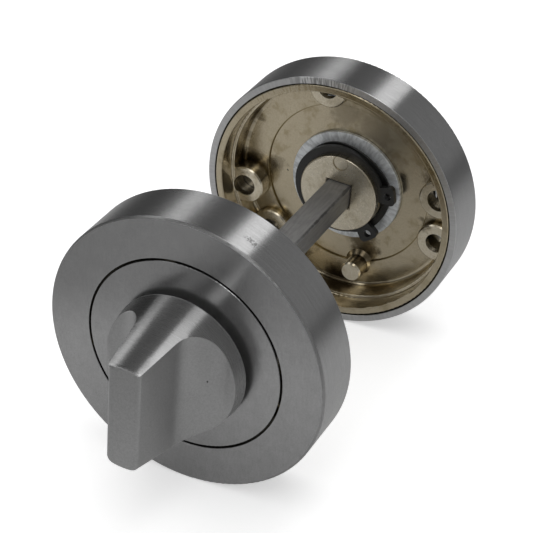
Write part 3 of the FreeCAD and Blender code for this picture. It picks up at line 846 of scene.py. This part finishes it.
def dim_floor(tree, place, away):
    """The floor's colour to all but straight rays, as painted light and shade: near, far, far in front,
    and the dip of painted shade in front.
    """
    forwards = split_vector(tree, place)[1]
    front = ramp(tree, forwards, *FLOOR_FRONT, 1.0, 0.0)
    far_colour = mix_colours(tree, front, FLOOR_FAR_COLOUR, FLOOR_FRONT_COLOUR)
    # painted light: the floor is lighter near the part, fades darker far off, and is lighter far in front
    seen = mix_colours(tree, ramp(tree, away, *FLOOR_FADE), FLOOR_NEAR_COLOUR, far_colour)
    # painted shade: a darker dip just in front of the roses
    dip_end = ramp(tree, away, *FLOOR_DIP_END, 1.0, 0.0)
    dip = value_of(tree, "MULTIPLY", ramp(tree, away, *FLOOR_DIP), dip_end)
    dip = value_of(tree, "MULTIPLY", dip, ramp(tree, forwards, *FLOOR_DIP_FRONT, 1.0, 0.0))
    return mix_colours(tree, dip, seen, FLOOR_SHADE_DIP_COLOUR)


def floor_material():
    """Pale paper that is white to the camera with the part's shadow, and dimmer to all other rays."""
    material, tree, output = new_material("floor_paper")
    place = add_node(tree, "ShaderNodeTexCoord").outputs["Object"]
    away = distance(tree, place, ORIGIN)
    path = add_node(tree, "ShaderNodeLightPath")
    straight = straight_rays(tree, path)
    mirrored = value_of(tree, "MULTIPLY", path.outputs["Is Glossy Ray"], FLOOR_MIRRORED_GLOW)
    seen = mix_colours(tree, straight, dim_floor(tree, place, away), FLOOR_COLOUR)
    paper = add_node(tree, "ShaderNodeBsdfDiffuse")
    tree.links.new(mix_colours(tree, mirrored, seen, grey(0.0)), paper.inputs["Color"])
    glow = add_node(tree, "ShaderNodeEmission")
    tree.links.new(seen, glow.inputs["Color"])
    plain = ramp(tree, away, *FLOOR_GLOW_FADE, FLOOR_GLOW, FLOOR_FAR_GLOW)
    strength = value_of(tree, "MULTIPLY_ADD", straight, plain, mirrored)
    tree.links.new(strength, glow.inputs["Strength"])
    both = add_node(tree, "ShaderNodeAddShader")
    tree.links.new(paper.outputs[0], both.inputs[0])
    tree.links.new(glow.outputs[0], both.inputs[1])
    tree.links.new(both.outputs[0], output.inputs["Surface"])
    return material


def add_floor():
    """A wide pale floor that the roses stand on."""
    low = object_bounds()[0].z
    corners = [(x * FLOOR_HALF, y * FLOOR_HALF, low) for x, y in ((-1, -1), (1, -1), (1, 1), (-1, 1))]
    add_mesh("floor", corners, [(0, 1, 2, 3)], floor_material())


def add_area(name, place, target, width, length, radiance):
    """A rectangular softbox whose length runs along Y."""
    data = bpy.data.lights.new(name, "AREA")
    data.shape = "RECTANGLE"
    data.size = width
    data.size_y = length
    data.energy = radiance * math.pi * width * length
    lamp = add_object(name, data)
    back = (Vector(place) - Vector(target)).normalized()
    along = Vector((0.0, 1.0, 0.0))
    lamp.location = place
    lamp.rotation_mode = "QUATERNION"
    lamp.rotation_quaternion = Matrix((along.cross(back), along, back)).transposed().to_quaternion()
    lamp.visible_camera = False
    return lamp


def add_strip(name, angle, width, radiance):
    """A strip light parallel to the spindle, at an angle about it."""
    turn = math.radians(angle)
    place = (STRIP_REACH * math.cos(turn), 0, STRIP_REACH * math.sin(turn))
    return add_area(name, place, ORIGIN, width, STRIP_LENGTH, radiance)


def add_lights():
    """Two strips that draw the bands on the metal, and a top softbox for the floor."""
    add_strip("main_strip", **MAIN_STRIP)
    add_strip("second_strip", **SECOND_STRIP)
    top = add_area("top_softbox", (0, 0, TOP_HEIGHT), ORIGIN, TOP_SIZE, TOP_SIZE, TOP_RADIANCE)
    top.visible_glossy = False


def dim_room(tree):
    """The room that the part sees: brighter to the right, in front, and overhead in front."""
    direction = add_node(tree, "ShaderNodeTexCoord").outputs["Generated"]
    sideways, forwards, upwards = split_vector(tree, direction)
    overhead = ramp(tree, forwards, *ROOM_OVERHEAD_FORWARDS, ROOM_OVERHEAD, 0.0)
    return most(tree, [
        ramp(tree, sideways, *ROOM_SIDEWAYS, ROOM_LEFT, ROOM_RIGHT),
        ramp(tree, forwards, *ROOM_FORWARDS, ROOM_FRONT, 0.0),
        value_of(tree, "MULTIPLY", overhead, ramp(tree, upwards, *ROOM_OVERHEAD_UPWARDS)),
    ])


def add_room():
    """A white background, which the part sees as a dimmer room."""
    world = bpy.data.worlds.new("room")
    bpy.context.scene.world = world
    world.use_nodes = True
    tree = world.node_tree
    tree.nodes.clear()
    output = add_node(tree, "ShaderNodeOutputWorld")
    back = add_node(tree, "ShaderNodeBackground")
    path = add_node(tree, "ShaderNodeLightPath")
    soft = value_of(tree, "MULTIPLY", path.outputs["Is Diffuse Ray"], ROOM_SOFT_LIGHT)
    strength = most(tree, [dim_room(tree), soft, straight_rays(tree, path)])
    tree.links.new(strength, back.inputs["Strength"])
    tree.links.new(back.outputs[0], output.inputs["Surface"])


def add_camera():
    """The camera at the photograph's place."""
    data = bpy.data.cameras.new("camera")
    data.sensor_width = CAMERA_SENSOR
    data.lens = CAMERA_LENS
    data.clip_start = CAMERA_NEAREST
    data.clip_end = CAMERA_FARTHEST
    camera = add_object("camera", data)
    azimuth = math.radians(CAMERA_AZIMUTH)
    elevation = math.radians(CAMERA_ELEVATION)
    level = math.cos(elevation)
    forward = Vector((-math.sin(azimuth) * level, math.cos(azimuth) * level, -math.sin(elevation)))
    camera.location = CAMERA_PLACE
    camera.rotation_mode = "QUATERNION"
    camera.rotation_quaternion = forward.to_track_quat("-Z", "Y")
    bpy.context.scene.camera = camera


def node_finishes(nickel):
    """The finish of each node, by its name."""
    cover = finish_material("cover_steel", cover_shader)
    disc = finish_material("disc_steel", disc_shader)
    zinc = finish_material("zinc_plate", zinc_shader)
    black = finish_material("black_spring_steel", black_shader)
    finishes = {
        "thumb_turn": finish_material("thumb_turn_steel", turn_shader),
        "release_button": finish_material("release_steel", release_shader),
        "spindle": finish_material("drawn_steel", bar_shader),
    }
    for side in ("inside", "outside"):
        finishes[side + "_cover"] = cover
        finishes[side + "_hub_disc"] = disc
        finishes[side + "_rose_plate"] = nickel
        finishes[side + "_washer"] = zinc
        finishes[side + "_wave_washer"] = black
        finishes[side + "_circlip"] = black
    return finishes


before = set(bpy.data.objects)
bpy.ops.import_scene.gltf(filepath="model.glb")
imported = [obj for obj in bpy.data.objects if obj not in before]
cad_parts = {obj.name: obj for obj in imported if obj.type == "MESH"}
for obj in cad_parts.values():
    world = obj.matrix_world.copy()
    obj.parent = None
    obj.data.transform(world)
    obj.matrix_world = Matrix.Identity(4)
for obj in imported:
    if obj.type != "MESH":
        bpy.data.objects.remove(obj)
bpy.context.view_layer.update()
bpy.context.scene.view_settings.view_transform = "Standard"

cast_nickel = finish_material("cast_nickel", nickel_shader)
give(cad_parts, node_finishes(cast_nickel))

add_flash("inside_ring_flash", "inside_rose", 0.0, -1.0, cast_nickel)
add_flash("outside_ring_flash", "outside_rose", DOOR_THICKNESS, 1.0, cast_nickel)

add_floor()
add_lights()
add_room()
add_camera()
